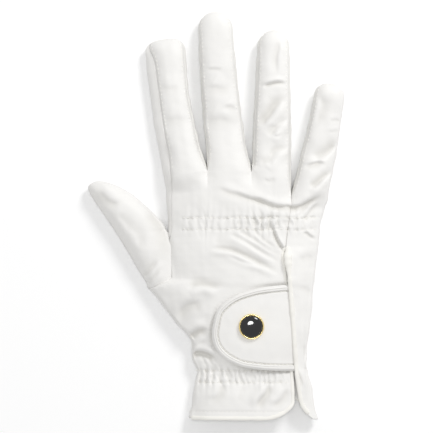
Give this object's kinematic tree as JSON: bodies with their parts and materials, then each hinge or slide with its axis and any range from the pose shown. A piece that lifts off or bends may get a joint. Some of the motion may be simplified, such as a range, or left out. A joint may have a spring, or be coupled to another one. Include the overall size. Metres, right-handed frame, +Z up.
{
  "type": "horse riding glove",
  "caption": "Leather riding glove for the right hand, lying palm down, with gathered back, open wrist vent, rounded closure tab and dome snap.",
  "frame": {"origin": "middle of the glove's bounding box, on the table that the palm lies on", "axes": "+X to the little finger's side, +Y to the fingertips, +Z up out of the back of the hand"},
  "size_m": [0.1542, 0.2458, 0.0212],
  "materials": {
    "leather": "soft matt white leather",
    "fourchette": "matt white leather",
    "binding": "folded cream white edge binding",
    "hook": "napped white hook and loop",
    "rim": "polished gold plate",
    "dome": "glossy black enamel",
    "post": "plain steel"
  },
  "bodies": {
    "root": {"back_panel": "leather", "side_panel": "leather", "palm_panel": "leather", "fourchette_index_middle": "fourchette", "fourchette_middle_ring": "fourchette", "fourchette_ring_little": "fourchette", "thumb_upper": "leather", "thumb_lower": "leather", "vent_and_cuff_binding": "binding", "side_binding": "binding", "palm_binding": "binding", "closure_tab": "leather", "tab_binding": "binding", "hook_patch": "hook", "button_rim": "rim", "button_dome": "dome", "button_post": "post"}
  },
  "joints": []
}
